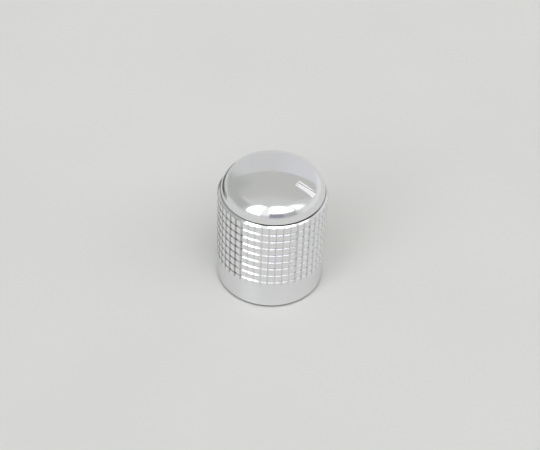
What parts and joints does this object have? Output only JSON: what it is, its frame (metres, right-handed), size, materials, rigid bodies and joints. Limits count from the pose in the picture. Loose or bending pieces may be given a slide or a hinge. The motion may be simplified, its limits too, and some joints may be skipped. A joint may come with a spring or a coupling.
{
  "type": "control knob",
  "caption": "Turned aluminium control knob for a round potentiometer shaft, with a domed top, a cross-knurled grip, a plain skirt, a pointer slot and a set screw.",
  "frame": {"origin": "middle of the rim that the knob stands on, on the shaft's axis", "axes": "+Z along the shaft's axis towards the dome, +X towards the pointer slot, the set screw on the -X side"},
  "size_m": [0.016, 0.016, 0.0196],
  "materials": {
    "turned_aluminium": "bright turned aluminium, clear anodised, with white enamel in the pointer slot",
    "blackened_steel": "blackened alloy steel"
  },
  "bodies": {
    "root": {"knob_body": "turned_aluminium", "set_screw": "blackened_steel"}
  },
  "joints": []
}
